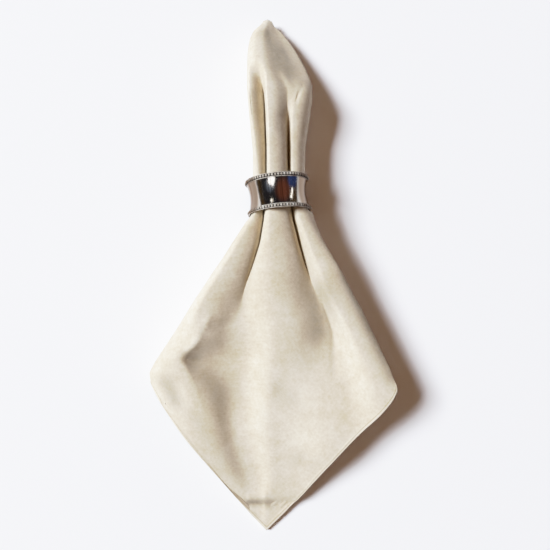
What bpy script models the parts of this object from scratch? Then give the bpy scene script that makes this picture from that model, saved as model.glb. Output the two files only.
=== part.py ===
# A square linen napkin, folded in quarters with its sides folded back behind, gathered
# through a polished ring with a waist. It lies on a table with the closed corner up (+Y).
# +X is to the right, +Z is up, and the origin is on the table below the middle of the whole.
# Sizes here are in millimetres; metres are made of them when a mesh is built.

import math

import bmesh
import bpy
import numpy as np
from mathutils import Matrix, Vector

MM = 0.001

# The folded cloth
LENGTH = 355.3          # closed corner to open corner, as it lies
CORNER_X = -5.7         # both of these corners lie a little left of the middle
STACK = 2.4             # four plies of linen, lying on each other
PLY_GAP = 0.4           # air between one flap and the other
LAP_RAMP = 8.0          # length over which the left flap climbs onto the right one
LAP_LEAD = 1.0          # it is up by this much before the right flap's edge
LEAST_OVER_LAP = 8.4    # lowest that the front panel may come where two flaps lie under it
STEEPNESS = 0.5         # 0 for even waves, 1 for flat tops and floors with steep flanks
NOSE_REACH = 1.6        # how far the closed corner bulges past its first row

# The ring
RING_DOWN = 132.5       # from the closed corner to the middle of the ring
RING_X = 2.1
RING_LEAN = math.radians(5.4)    # its axis leans left at the top
RING_WIDTH = 23.0       # along its axis
RIM_RADIUS = 21.75      # outside of the rims
WAIST_RADIUS = 18.9     # outside of the waist
WALL = 1.0
RIM_ROLL = 1.25         # radius of the rolled rims
FLARE = 1.5             # how much wider the wall is at the rims than at the waist
RING_SIDES = 48
WAIST_STEPS = 6
BORE_GAP = 0.35         # between the cloth and the bore
RIM_CLEAR = 1.0         # the cloth starts to spread again this far past a rim
BORE_SPREAD = 1.6       # and spreads by this much for each millimetre on

# Where the folds run, seen from above: one row for each section across the napkin.
# down is measured from the closed corner, the others are x.
PLAN_COLUMNS = ("down", "side_l", "crest_l", "valley_l", "crest_c", "valley_r", "crest_r", "side_r")
PLAN = (
    (2, -8.3, -7.5, -6.4, -5.1, -4.1, -3.2, -2.5),
    (6, -11.4, -10.3, -8.5, -6.4, -3.9, -1.9, -0.4),
    (11, -16.0, -13.7, -10.5, -7.4, -3.8, 0.0, 4.4),
    (21, -18.8, -16.5, -13.1, -8.9, -1.9, 4.5, 11.4),
    (32, -19.6, -16.8, -13.2, -8.8, -0.6, 7.8, 17.0),
    (43, -19.6, -16.9, -12.4, -7.5, 1.7, 11.0, 21.6),
    (56, -19.4, -17.0, -8.7, -5.0, 6.2, 15.3, 25.1),
    (63, -18.9, -16.9, -7.5, -4.9, 8.6, 16.7, 25.2),
    (74, -17.9, -16.2, -6.7, -4.3, 8.3, 14.0, 24.1),
    (87, -16.6, -14.4, -6.2, -3.5, 8.7, 12.5, 22.3),
    (103, -15.2, -12.4, -5.7, -3.0, 9.0, 12.3, 20.3),
    (120, -15.0, -11.0, -5.7, -2.7, 9.4, 12.4, 20.3),
    (149, -19.5, -14.5, -7.5, -2.8, 12.4, 16.4, 26.2),
    (154, -22.3, -16.8, -8.3, -3.0, 13.8, 18.2, 27.7),
    (164, -28.9, -22.2, -9.9, -2.7, 16.2, 22.1, 32.0),
    (174, -35.1, -27.9, -12.8, -2.2, 18.8, 26.8, 37.7),
    (184, -42.0, -34.1, -16.1, -2.2, 21.9, 30.7, 43.3),
    (203, -54.5, -45.5, -21.6, -1.2, 28.9, 40.8, 53.3),
    (222, -66.4, -56.1, -23.2, 2.6, 37.3, 50.8, 62.5),
    (242, -79.7, -59.9, -23.8, 1.8, 41.2, 61.2, 71.8),
    (251, -84.0, -58.5, -23.2, 0.6, 42.2, 65.3, 75.4),
    (260, -83.0, -54.8, -22.5, 0.6, 43.4, 67.5, 79.2),
    (281, -99.0, -46.5, -23.4, -1.5, 44.0, 76.0, 92.4),
    (301, -108.2, -39.6, -19.4, 0.5, 42.0, 85.0, 102.4),
    (321, -117.8, -29.9, -14.6, 1.0, 40.6, 92.0, 113.2),
    (341, -127.8, -17.2, -11.0, -4.4, 40.6, 99.0, 122.8),
    (LENGTH, -135.0, -15.0, -10.0, CORNER_X, 42.1, 104.4, 130.0),
)

# How high the outer face stands over the table on those same folds. base is the underside.
# tight_l and tight_r are 1 where a valley is pinched shut and 0 where it is a soft wave.
# reach_l and reach_r are the lengths of cloth that turn under at each side.
RISE_COLUMNS = ("down", "side_l", "crest_l", "valley_l", "crest_c", "valley_r", "crest_r", "side_r",
                "base", "tight_l", "tight_r", "reach_l", "reach_r")
RISE = (
    (2, 7.0, 8.4, 9.2, 9.6, 9.2, 8.4, 7.0, 4.8, 0.0, 0.0, 3, 3),
    (6, 8.0, 11.0, 12.4, 12.8, 11.8, 10.4, 8.2, 3.0, 0.0, 0.0, 6, 6),
    (11, 9.0, 13.4, 15.8, 16.2, 14.4, 12.2, 9.6, 2.0, 0.0, 0.0, 8, 8),
    (21, 10.5, 17.6, 20.2, 20.8, 18.0, 15.0, 11.4, 0.8, 0.0, 0.0, 12, 13),
    (32, 12.5, 24.0, 26.4, 26.8, 23.8, 19.6, 14.6, 0.2, 0.0, 0.0, 17, 18),
    (43, 14.5, 28.4, 30.4, 31.6, 28.0, 23.6, 18.2, 0.0, 0.1, 0.0, 21, 24),
    (56, 17.0, 33.0, 27.6, 35.8, 31.6, 29.4, 22.0, 0.0, 0.4, 0.0, 27, 31),
    (63, 17.5, 33.6, 25.0, 37.6, 33.0, 32.6, 23.5, 0.0, 0.7, 0.0, 30, 34),
    (74, 18.2, 33.6, 23.0, 38.6, 32.6, 33.6, 23.0, 0.1, 0.9, 0.1, 34, 37),
    (87, 19.0, 33.4, 22.0, 39.0, 25.0, 31.0, 19.8, 0.4, 1.0, 0.6, 38, 40),
    (103, 20.4, 33.4, 21.4, 38.8, 21.0, 31.4, 20.4, 1.5, 1.0, 1.0, 42, 41),
    (120, 21.8, 33.6, 22.4, 39.0, 21.4, 33.0, 22.0, 3.4, 1.0, 1.0, 45, 42),
    (149, 20.0, 33.0, 23.0, 39.0, 22.6, 35.0, 25.0, 2.2, 1.0, 1.0, 49, 47),
    (154, 18.4, 34.4, 24.5, 38.6, 22.6, 35.0, 27.5, 1.1, 1.0, 0.9, 52, 50),
    (164, 17.0, 35.6, 26.4, 37.8, 22.6, 34.8, 29.0, 0.3, 0.95, 0.8, 56, 57),
    (174, 16.4, 36.2, 27.6, 37.0, 23.4, 34.0, 29.5, 0.0, 0.8, 0.65, 61, 63),
    (184, 16.0, 36.2, 28.6, 36.4, 24.4, 33.4, 29.0, 0.0, 0.55, 0.5, 67, 69),
    (203, 15.2, 35.0, 27.6, 35.0, 25.0, 32.2, 28.0, 0.0, 0.2, 0.2, 79, 80),
    (222, 14.0, 32.4, 23.0, 32.6, 24.0, 31.4, 28.0, 0.0, 0.0, 0.0, 92, 92),
    (242, 12.4, 29.6, 18.0, 27.2, 23.4, 31.4, 28.6, 0.0, 0.0, 0.0, 104, 103),
    (251, 11.6, 27.8, 17.0, 25.0, 24.2, 31.0, 29.2, 0.0, 0.0, 0.0, 109, 108),
    (260, 10.0, 26.0, 16.0, 23.6, 24.4, 31.0, 29.4, 0.0, 0.0, 0.0, 112, 110),
    (281, 5.0, 21.6, 14.4, 20.8, 25.0, 30.0, 29.0, 0.0, 0.0, 0.0, 112, 111),
    (301, 3.0, 17.0, 12.0, 17.0, 23.6, 28.0, 27.0, 0.0, 0.0, 0.0, 112, 111),
    (321, 1.6, 10.6, 8.4, 12.0, 15.6, 19.0, 18.0, 0.0, 0.0, 0.0, 112, 111),
    (341, 2.0, 3.6, 3.4, 4.0, 5.6, 8.0, 8.0, 0.0, 0.0, 0.0, 112, 112),
    (LENGTH, 2.5, 2.6, 2.5, 2.5, 2.5, 4.0, 4.0, 0.0, 0.0, 0.0, 112, 112),
)

# The two lower hems, from the folded side corner to the open corner
HEM_COLUMNS = ("down", "x")
HEM_L = (
    (258, -82.5),
    (268, -76.7),
    (290.7, -60.6),
    (306.7, -47.6),
    (323, -33.9),
    (339.7, -20.7),
    (LENGTH, CORNER_X),
)
HEM_R = (
    (259.5, 78.8),
    (273.5, 69.7),
    (289.1, 54.0),
    (305.6, 38.5),
    (322.5, 24.5),
    (339.7, 10.0),
    (LENGTH, CORNER_X),
)
FLAP_END = 256.0        # down to where both flaps' hems end under the middle

# Soft marks pressed or raised in the front panel: a trough or ridge along a short line
MARK_COLUMNS = ("x0", "down0", "x1", "down1", "half_width", "rise")
MARKS = (
    (-40.4, 214.3, -54.8, 232.8, 4.0, 1.2),
    (-56.8, 237.3, -53.2, 245.2, 5.0, -2.0),
    (-71.5, 260.4, -68.7, 269.6, 5.0, -1.0),
    (-18.7, 336.8, 10.0, 334.6, 4.0, -1.0),
    (20.3, 165.1, 29.4, 195.9, 3.5, -1.0),
    (29.4, 195.9, 38.0, 223.2, 3.5, -1.0),
    (5.3, 261.2, 13.8, 265.1, 6.0, -1.0),
    (20.4, 306.5, 26.4, 309.1, 6.0, -1.2),
)

# Steps of the mesh: level rows, then rows that fan out to the hems, and columns between folds
LEVEL_ROWS = (2, 3.8, 7, 12, 18, 25, 33, 41, 49, 57, 66, 77, 89, 101, 112, 122, 132, 142,
              150, 158, 166, 175, 185, 196, 208, 221, 236)
FAN_ROWS = 10
FOLD_STEPS = (9, 4, 5, 5, 5, 4)
CREST_CROWDING = 1.6    # the left flank's columns crowd towards its crest, where the hem runs beside them
FLAP_STEPS = 10
FLAP_CROWDING = 1.4     # flap columns are closer together round the side fold
HALVINGS = 30           # in the search for where a column meets its hem
SHARP_FOLD = math.radians(60)    # shading is smooth over folds softer than this
SHARP_RIM = math.radians(40)


def column(table, columns, name):
    """The column down of a table, and the named one beside it."""
    place = columns.index(name)
    return [row[0] for row in table], [row[place] for row in table]


def smooth(xs, ys, x):
    """A smooth curve through the points, which never swings past its neighbours."""
    x = min(max(x, xs[0]), xs[-1])
    slopes = [(ys[i + 1] - ys[i]) / (xs[i + 1] - xs[i]) for i in range(len(xs) - 1)]
    i = 0
    while i < len(slopes) - 1 and x > xs[i + 1]:
        i += 1

    def tangent(k):
        if k == 0:
            return slopes[0]
        if k == len(slopes):
            return slopes[-1]
        before, after = slopes[k - 1], slopes[k]
        if before * after <= 0:
            return 0.0
        return 2 * before * after / (before + after)

    step = xs[i + 1] - xs[i]
    t = (x - xs[i]) / step
    return ((2 * t**3 - 3 * t**2 + 1) * ys[i] + (t**3 - 2 * t**2 + t) * step * tangent(i)
            + (3 * t**2 - 2 * t**3) * ys[i + 1] + (t**3 - t**2) * step * tangent(i + 1))


def plan(name, down):
    return smooth(*column(PLAN, PLAN_COLUMNS, name), down)


def rise(name, down):
    return smooth(*column(RISE, RISE_COLUMNS, name), down)


def ease(t):
    t = min(max(t, 0.0), 1.0)
    return t * t * (3 - 2 * t)


def marks(x, down):
    """The height that the soft marks add at a place on the front panel."""
    total = 0.0
    for row in MARKS:
        mark = dict(zip(MARK_COLUMNS, row))
        along = Vector((mark["x1"] - mark["x0"], mark["down1"] - mark["down0"]))
        from_start = Vector((x - mark["x0"], down - mark["down0"]))
        t = min(max(from_start.dot(along) / along.length_squared, 0.0), 1.0)
        distance = (from_start - along * t).length
        total += mark["rise"] * math.exp(-(distance / mark["half_width"]) ** 2)
    return total


FOLDS = ("side_l", "crest_l", "valley_l", "crest_c", "valley_r", "crest_r", "side_r")


def front_point(position, down):
    """The outer face of the front panel. position counts the folds from the left, 0 to 6."""
    fold = min(int(position), len(FOLDS) - 2)
    part = position - fold
    left, right = FOLDS[fold], FOLDS[fold + 1]
    high, low = (left, right) if left.startswith("crest") else (right, left)
    t = part if high == left else 1 - part
    tight = 1.0 if low.startswith("side") else rise("tight_l" if low == "valley_l" else "tight_r", down)
    wave = STEEPNESS * ease(t) + (1 - STEEPNESS) * t
    across = (1 - tight) * t + tight * math.sin(t * math.pi / 2)
    fall = (1 - tight) * (1 + math.cos(wave * math.pi)) / 2 + tight * math.cos(t * math.pi / 2)
    x = plan(high, down) + (plan(low, down) - plan(high, down)) * across
    z_low = rise(low, down)
    z = z_low + (rise(high, down) - z_low) * fall
    loose = fall * (1 - rise("tight_l", down)) if low.startswith("side") else 1 - tight
    return x, z + marks(x, down) * loose


def quarter_length(radius, height):
    """The length round a quarter of an ellipse, nearly."""
    return math.pi / 2 * math.sqrt((radius**2 + height**2) / 2)


def lower_point(from_left, length, down, lift):
    """The outer face of a flap, at a length of cloth past the side fold."""
    near, far = ("side_l", "side_r") if from_left else ("side_r", "side_l")
    side_l, side_r = plan("side_l", down), plan("side_r", down)
    base = rise("base", down)
    half = (side_r - side_l) / 2
    height, far_height = rise(near, down) - base, rise(far, down) - base
    radius, far_radius = min(height, half), min(far_height, half)
    quarter, far_quarter = quarter_length(radius, height), quarter_length(far_radius, far_height)
    flat = 2 * half - radius - far_radius
    if length < quarter:
        turn = length / quarter * math.pi / 2
        inset, z = radius * (1 - math.cos(turn)), base + height * (1 - math.sin(turn))
        into = Vector((math.cos(turn), math.sin(turn)))
    elif length < quarter + flat:
        inset, z = radius + length - quarter, base
        into = Vector((0.0, 1.0))
    else:
        turn = min((length - quarter - flat) / far_quarter, 1.0) * math.pi / 2
        inset = radius + flat + far_radius * math.sin(turn)
        z = base + far_height * (1 - math.cos(turn))
        into = Vector((-math.sin(turn), math.cos(turn)))
    inset, z = inset + into.x * lift, z + into.y * lift
    return (side_l + inset if from_left else side_r - inset), z


def lower_length(down):
    """How long the underside is, from one side of the section to the other."""
    half = (plan("side_r", down) - plan("side_l", down)) / 2
    total = 2 * half
    for side in ("side_l", "side_r"):
        height = rise(side, down) - rise("base", down)
        radius = min(height, half)
        total += quarter_length(radius, height) - radius
    return total


def flap_point(from_left, part, down):
    reach = rise("reach_l" if from_left else "reach_r", down)
    length = reach * part**FLAP_CROWDING
    lift = 0.0
    if from_left:
        edge_of_other = lower_length(down) - rise("reach_r", down)
        climb = (length - (edge_of_other - LAP_RAMP - LAP_LEAD)) / LAP_RAMP
        lift = (STACK + PLY_GAP) * ease(climb)
    return lower_point(from_left, length, down, lift)


def pressed(x, z, down):
    """The bore of the ring holds the lobes in; past its rims the cloth spreads again."""
    lean, tilt = math.sin(RING_LEAN), math.cos(RING_LEAN)
    along = (x - RING_X) * lean + (down - RING_DOWN) * tilt
    beside = (x - RING_X) * tilt - (down - RING_DOWN) * lean
    past_rim = max(abs(along) - RING_WIDTH / 2 - RIM_CLEAR, 0.0)
    bore = WAIST_RADIUS - WALL - BORE_GAP + BORE_SPREAD * past_rim
    away = math.hypot(beside, z - RIM_RADIUS)
    if away <= bore:
        return x, z
    beside *= bore / away
    x = RING_X + (beside + (down - RING_DOWN) * lean) / tilt
    return x, RIM_RADIUS + (z - RIM_RADIUS) * bore / away


def skin_point(position, down):
    """The outer face at any position: below 0 the left flap, above 6 the right flap."""
    if position < 0:
        x, z = flap_point(True, -position, down)
    elif position > len(FOLDS) - 1:
        x, z = flap_point(False, position - (len(FOLDS) - 1), down)
    else:
        x, z = front_point(position, down)
        if z < LEAST_OVER_LAP and down < FLAP_END:
            z = LEAST_OVER_LAP
    return pressed(x, z, down)


def column_end(position):
    """Where a column of the cloth meets its hem."""
    last = len(FOLDS) - 1
    if position <= 0:
        return HEM_L[0][0] + (FLAP_END - HEM_L[0][0]) * -position
    if position >= last:
        return HEM_R[0][0] + (FLAP_END - HEM_R[0][0]) * (position - last)
    if position == last / 2:
        return LENGTH
    on_left = position < last / 2
    hem_down, hem_x = column(HEM_L if on_left else HEM_R, HEM_COLUMNS, "x")
    side = 1 if on_left else -1
    low, high = hem_down[0], LENGTH
    for _ in range(HALVINGS):
        middle = (low + high) / 2
        inside = (front_point(position, middle)[0] - smooth(hem_down, hem_x, middle)) * side
        low, high = (middle, high) if inside > 0 else (low, middle)
    return low


def positions():
    """The columns of the cloth, from the left flap's edge to the right flap's edge."""
    found = [-1 + step / FLAP_STEPS for step in range(FLAP_STEPS)]
    for fold, steps in enumerate(FOLD_STEPS):
        crowding = CREST_CROWDING if fold == 0 else 1.0
        found += [fold + 1 - (1 - step / steps) ** crowding for step in range(steps)]
    last = len(FOLD_STEPS)
    return found + [last + step / FLAP_STEPS for step in range(FLAP_STEPS + 1)]


def outer_skin():
    """Rows of points over the outer face, from the closed corner down to the hems."""
    across = positions()
    ends = [column_end(position) for position in across]
    start = LEVEL_ROWS[-1]
    rows = []
    for down in LEVEL_ROWS:
        rows.append([(down, position) for position in across])
    for step in range(1, FAN_ROWS + 1):
        part = step / FAN_ROWS
        rows.append([(start + (end - start) * part, position) for end, position in zip(ends, across)])
    skin = np.zeros((len(rows), len(across), 3))
    for i, row in enumerate(rows):
        for j, (down, position) in enumerate(row):
            x, z = skin_point(position, down)
            skin[i, j] = (x, LENGTH / 2 - down, z)
    return skin


def inner_skin(outer):
    """The other face of the stack of plies, its thickness in from the outer face."""
    down_way = np.gradient(outer, axis=0)
    across = np.gradient(outer, axis=1)
    inward = np.cross(across, down_way)
    inward /= np.linalg.norm(inward, axis=2, keepdims=True)
    inner = outer + inward * STACK
    inner[:, :, 2] = np.maximum(inner[:, :, 2], 0.0)
    return inner


def new_object(name, mesh, material):
    mesh.materials.append(material)
    thing = bpy.data.objects.new(name, mesh)
    bpy.context.scene.collection.objects.link(thing)
    return thing


def new_material(name, colour, roughness, metallic):
    material = bpy.data.materials.new(name)
    material.use_nodes = True
    shader = material.node_tree.nodes["Principled BSDF"]
    shader.inputs["Base Color"].default_value = (*colour, 1.0)
    shader.inputs["Roughness"].default_value = roughness
    shader.inputs["Metallic"].default_value = metallic
    return material


def make_cloth(material):
    """One sheet of four plies: its outer and inner faces, joined along its edges."""
    outer = outer_skin()
    inner = inner_skin(outer)
    rows, columns = outer.shape[:2]
    nose = [face[0].mean(axis=0) + (0, NOSE_REACH, 0) for face in (outer, inner)]
    points = np.concatenate([outer.reshape(-1, 3), inner.reshape(-1, 3), nose]) * MM
    other = rows * columns
    nose_out, nose_in = 2 * other, 2 * other + 1

    faces = []
    for i in range(rows - 1):
        for j in range(columns - 1):
            a, b = i * columns + j, i * columns + j + 1
            c, d = b + columns, a + columns
            faces.append((a, d, c, b))
            faces.append((other + a, other + b, other + c, other + d))
    for j in range(columns):
        here, beside = j, (j + 1) % columns
        faces.append((nose_out, here, beside))
        faces.append((nose_in, other + beside, other + here))
    edge = [i * columns for i in range(rows)]
    edge += [(rows - 1) * columns + j for j in range(1, columns)]
    edge += [i * columns + columns - 1 for i in range(rows - 2, -1, -1)]
    for k, here in enumerate(edge):
        beside = edge[(k + 1) % len(edge)]
        faces.append((here, other + here, other + beside, beside))

    mesh = bpy.data.meshes.new("napkin_cloth")
    mesh.from_pydata(points.tolist(), [], faces)
    bm = bmesh.new()
    bm.from_mesh(mesh)
    bmesh.ops.triangulate(bm, faces=bm.faces, quad_method="FIXED")
    bm.to_mesh(mesh)
    bm.free()
    mesh.shade_smooth()
    mesh.set_sharp_from_angle(angle=SHARP_FOLD)
    return new_object("napkin_cloth", mesh, material)


def ring_profile():
    """The ring's wall and its two rolled rims, as (along the axis, radius)."""
    waist_end = RING_WIDTH / 2 - 2 * RIM_ROLL + 0.2
    rim_centre = RING_WIDTH / 2 - RIM_ROLL * math.cos(math.radians(22.5))
    rim_radius = RIM_RADIUS - RIM_ROLL * math.sin(math.radians(67.5))

    def wall(radius):
        steps = [waist_end * (2 * i / WAIST_STEPS - 1) for i in range(WAIST_STEPS + 1)]
        return [(along, radius + FLARE * (along / waist_end) ** 2) for along in steps]

    def roll(side):
        angles = [math.radians(a) for a in (112.5, 67.5, 22.5, -22.5, -67.5, -112.5)]
        arc = [(rim_centre + RIM_ROLL * math.cos(a), rim_radius + RIM_ROLL * math.sin(a)) for a in angles]
        return arc if side > 0 else [(-along, radius) for along, radius in reversed(arc)]

    return wall(WAIST_RADIUS) + roll(1) + wall(WAIST_RADIUS - WALL)[::-1] + roll(-1)


def make_ring(material):
    """The profile turned round the ring's axis, which lies along Y, a flat side down."""
    bm = bmesh.new()
    verts = [bm.verts.new((radius * MM, along * MM, 0.0)) for along, radius in ring_profile()]
    edges = [bm.edges.new((verts[i], verts[(i + 1) % len(verts)])) for i in range(len(verts))]
    bmesh.ops.spin(bm, geom=verts + edges, axis=(0, 1, 0), cent=(0, 0, 0), dvec=(0, 0, 0),
                   angle=2 * math.pi, steps=RING_SIDES, use_merge=True, use_duplicate=False)
    bmesh.ops.remove_doubles(bm, verts=bm.verts, dist=0.00001)
    half_side = math.pi / RING_SIDES
    bmesh.ops.rotate(bm, verts=bm.verts, cent=(0, 0, 0), matrix=Matrix.Rotation(half_side, 3, "Y"))
    bmesh.ops.recalc_face_normals(bm, faces=bm.faces)
    bmesh.ops.triangulate(bm, faces=bm.faces)
    mesh = bpy.data.meshes.new("napkin_ring")
    bm.to_mesh(mesh)
    bm.free()
    mesh.shade_smooth()
    mesh.set_sharp_from_angle(angle=SHARP_RIM)
    ring = new_object("napkin_ring", mesh, material)
    axis_height = RIM_RADIUS * math.cos(half_side)
    ring.location = (RING_X * MM, (LENGTH / 2 - RING_DOWN) * MM, axis_height * MM)
    ring.rotation_euler = (0, 0, RING_LEAN)
    return ring


def centre(things):
    """Shift all by the same amount, so that the middle of the whole stands on the origin."""
    corners = []
    for thing in things:
        turn = thing.rotation_euler.to_matrix()
        corners += [thing.location + turn @ vert.co for vert in thing.data.vertices]
    middle = [(min(c[i] for c in corners) + max(c[i] for c in corners)) / 2 for i in range(2)]
    for thing in things:
        thing.location -= Vector((*middle, 0.0))


def main():
    for thing in list(bpy.data.objects):
        bpy.data.objects.remove(thing, do_unlink=True)
    linen = new_material("ivory linen", (0.72, 0.66, 0.55), 0.85, 0.0)
    metal = new_material("polished silver plate", (0.80, 0.79, 0.78), 0.12, 1.0)
    centre([make_cloth(linen), make_ring(metal)])


main()
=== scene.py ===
import math

import bmesh
import bpy
import numpy as np
from mathutils import Matrix, Vector


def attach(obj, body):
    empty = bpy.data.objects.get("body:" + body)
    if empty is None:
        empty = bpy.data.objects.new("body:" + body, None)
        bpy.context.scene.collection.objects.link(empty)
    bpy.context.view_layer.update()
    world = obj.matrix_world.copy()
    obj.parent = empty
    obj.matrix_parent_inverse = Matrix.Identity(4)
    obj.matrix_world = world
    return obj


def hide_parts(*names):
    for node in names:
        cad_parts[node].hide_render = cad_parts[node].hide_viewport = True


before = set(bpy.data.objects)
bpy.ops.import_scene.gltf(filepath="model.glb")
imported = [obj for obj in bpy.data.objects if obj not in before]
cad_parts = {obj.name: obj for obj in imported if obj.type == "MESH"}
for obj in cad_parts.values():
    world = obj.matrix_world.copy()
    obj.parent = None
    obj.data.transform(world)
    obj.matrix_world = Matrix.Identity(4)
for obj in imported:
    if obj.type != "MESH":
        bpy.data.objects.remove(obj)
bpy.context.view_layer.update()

mm = 0.001
place = Vector((2.52, 0.20, 0.0))    # the object's middle stands on the origin; mm from the folds' own zero


# Small helpers

def linear(hexColour):
    parts = [int(hexColour[i:i + 2], 16) / 255 for i in (1, 3, 5)]
    return tuple(c / 12.92 if c <= 0.04045 else ((c + 0.055) / 1.055) ** 2.4 for c in parts) + (1.0,)


def addNode(tree, kind, links=(), **settings):
    # links are (input, output socket); settings go on the node, or on the input of that number as in_0
    node = tree.nodes.new(kind)
    for name, value in settings.items():
        if name.startswith("in_"):
            node.inputs[int(name[3:])].default_value = value
        else:
            setattr(node, name, value)
    for socket, source in links:
        tree.links.new(source, node.inputs[socket])
    return node


def deselectAll():
    if bpy.context.object and bpy.context.object.mode != "OBJECT":
        bpy.ops.object.mode_set(mode="OBJECT")
    bpy.ops.object.select_all(action="DESELECT")


def newMaterial(name):
    material = bpy.data.materials.new(name)
    material.use_nodes = True
    tree = material.node_tree
    return material, tree, tree.nodes["Principled BSDF"]


# Camera: nearly straight above, as in the photograph, whose frame is 550 by 550

view = dict(aimX=2.52, aimY=-5.55, distance=425.0, elevation=84.5, framePixels=550, mmPerPixel=0.7)

camera = bpy.data.objects.new("camera", bpy.data.cameras.new("camera"))
bpy.context.scene.collection.objects.link(camera)
rise = math.radians(view["elevation"])
camera.location = (view["aimX"] * mm,
                   (view["aimY"] - view["distance"] * math.cos(rise)) * mm,
                   view["distance"] * math.sin(rise) * mm)
camera.rotation_euler = (math.pi / 2 - rise, 0, 0)
camera.data.sensor_width = 36
camera.data.angle = 2 * math.atan(view["framePixels"] / 2 * view["mmPerPixel"] / view["distance"])
camera.data.clip_start = 0.01
bpy.context.scene.camera = camera
print("camera set")


# Floor and light: a soft key from the left, a warm bounce from above, and a dark room with three light cards
# that only the metal shows

studio = dict(
    floorColour="#f6f6f8", floorRoughness=0.9, floorGloss=0.1,
    floorRadius=6.0, rimRadius=0.6, floorSides=96,
    floorDrop=0.0002,    # the paper lies just under the napkin
    key=dict(toward=(-0.976, 0.217), rise=44.3, distance=12.0, size=4.0, power=2930.0, colour="#edf5ff"),
    window=dict(toward=(-0.30, -0.20), rise=66.8, distance=1.3, size=0.50, power=2.4, colour="#f4f6ff"),
    strip=dict(toward=(0.78, 0.48), rise=30, distance=1.3, size=0.55, deep=0.11, power=0.62,
               colour="#ffffff"),
    glint=dict(toward=(-0.46, 0.62), rise=43, distance=1.3, size=0.14, power=0.20, colour="#ffffff"),
    bounce=dict(toward=(0.05, -0.05), rise=85, distance=2.0, size=3.0, power=8.6, colour="#f8bb60"),
    roomColour="#4a3a24",
    brightest=2.0,    # light above this is pure white; paper in full light comes to about 1.3
    shoulder=((0.0, 0.0), (0.2, 0.2), (0.4, 0.4), (0.6, 0.59), (0.8, 0.71), (0.95, 0.79), (1.1, 0.855),
              (1.3, 0.92), (1.6, 0.97), (2.0, 1.0)),
)
# What the room shows where: the direction to look in, half the angle that it covers, its soft edge, colour
roomPatches = (
    ((-0.1, 0.1, 1.0), 62, 8, "#26252a"),
    ((-0.52, -0.06, 0.85), 9, 12, "#667085"),
    ((0.32, 0.26, 0.90), 25, 12, "#643a2c"),
    ((0.86, -0.10, 0.40), 19, 7, "#33457c"),
)


def makeBackdrop():
    # turned from a profile: flat, then curving up far away, so that no edge shows
    mesh = bpy.data.meshes.new("floor")
    floor = bpy.data.objects.new("floor", mesh)
    bpy.context.scene.collection.objects.link(floor)
    bm = bmesh.new()
    flat, bend = studio["floorRadius"], studio["rimRadius"]
    profile = [(flat * share, 0.0) for share in (0.0, 0.2, 0.6, 1.0)]
    profile += [(flat + bend * math.sin(math.radians(a)), bend * (1 - math.cos(math.radians(a))))
                for a in range(10, 91, 10)]
    points = [bm.verts.new((r, 0.0, z - studio["floorDrop"])) for r, z in profile]
    edges = [bm.edges.new(pair) for pair in zip(points, points[1:])]
    bmesh.ops.spin(bm, geom=points + edges, axis=(0, 0, 1), cent=(0, 0, 0), angle=2 * math.pi,
                   steps=studio["floorSides"], use_merge=True)
    bmesh.ops.remove_doubles(bm, verts=bm.verts, dist=0.00001)
    bmesh.ops.recalc_face_normals(bm, faces=bm.faces)
    bm.to_mesh(mesh)
    bm.free()
    mesh.shade_smooth()
    return floor


deselectAll()
floor = makeBackdrop()
paper, tree, shader = newMaterial("matt white paper")    # seamless paper: no gloss, hardly any colour
shader.inputs["Base Color"].default_value = linear(studio["floorColour"])
shader.inputs["Roughness"].default_value = studio["floorRoughness"]
shader.inputs["Specular IOR Level"].default_value = studio["floorGloss"]
floor.data.materials.append(paper)


def addLamp(name):
    lamp = bpy.data.objects.new(name, bpy.data.lights.new(name, "AREA"))
    bpy.context.scene.collection.objects.link(lamp)
    kind = studio[name]
    across = Vector(kind["toward"]).normalized() * math.cos(math.radians(kind["rise"]))
    toward = Vector((across.x, across.y, math.sin(math.radians(kind["rise"]))))
    lamp.location = toward * kind["distance"]
    lamp.rotation_euler = (-toward).to_track_quat("-Z", "Y").to_euler()
    lamp.data.shape = "RECTANGLE"
    lamp.data.size = kind["size"]
    lamp.data.size_y = kind.get("deep", kind["size"])
    lamp.data.energy = kind["power"]
    lamp.data.color = linear(kind["colour"])[:3]
    return lamp


def makeRoom():
    # colour by direction only: each patch is a soft disc of the sky
    room = bpy.data.worlds.new("room")
    room.use_nodes = True
    tree = room.node_tree
    direction = addNode(tree, "ShaderNodeTexCoord").outputs["Generated"]
    shown = None
    for toward, halfAngle, edge, colour in roomPatches:
        near = addNode(tree, "ShaderNodeVectorMath", [(0, direction)], operation="DOT_PRODUCT",
                       in_1=Vector(toward).normalized())
        outside, inside = [math.cos(math.radians(angle)) for angle in (halfAngle + edge, halfAngle - edge)]
        share = addNode(tree, "ShaderNodeMapRange", [(0, near.outputs["Value"])],
                        interpolation_type="SMOOTHSTEP", in_1=outside, in_2=inside)
        mix = addNode(tree, "ShaderNodeMix", [(0, share.outputs[0])], data_type="RGBA", in_7=linear(colour))
        if shown is None:
            mix.inputs[6].default_value = linear(studio["roomColour"])
        else:
            tree.links.new(shown, mix.inputs[6])
        shown = mix.outputs[2]
    tree.links.new(shown, tree.nodes["Background"].inputs["Color"])
    bpy.context.scene.world = room


for name in ("key", "bounce"):
    addLamp(name).visible_glossy = False    # these light the cloth, and the metal doesn't show them
for name in ("window", "strip", "glint"):
    addLamp(name).visible_diffuse = False
makeRoom()


def setTone():
    # white stays white, and the highlights run into it softly, as in the photograph
    tone = bpy.context.scene.view_settings
    tone.view_transform = "Standard"
    tone.use_curve_mapping = True
    tone.curve_mapping.white_level = (studio["brightest"],) * 3
    curve = tone.curve_mapping.curves[3]
    for light, shown in studio["shoulder"][1:-1]:
        curve.points.new(light / studio["brightest"], shown)
    tone.curve_mapping.update()


setTone()
print("floor and light set")


# The napkin: four plies of linen, folded in quarters, sides folded back behind

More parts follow.
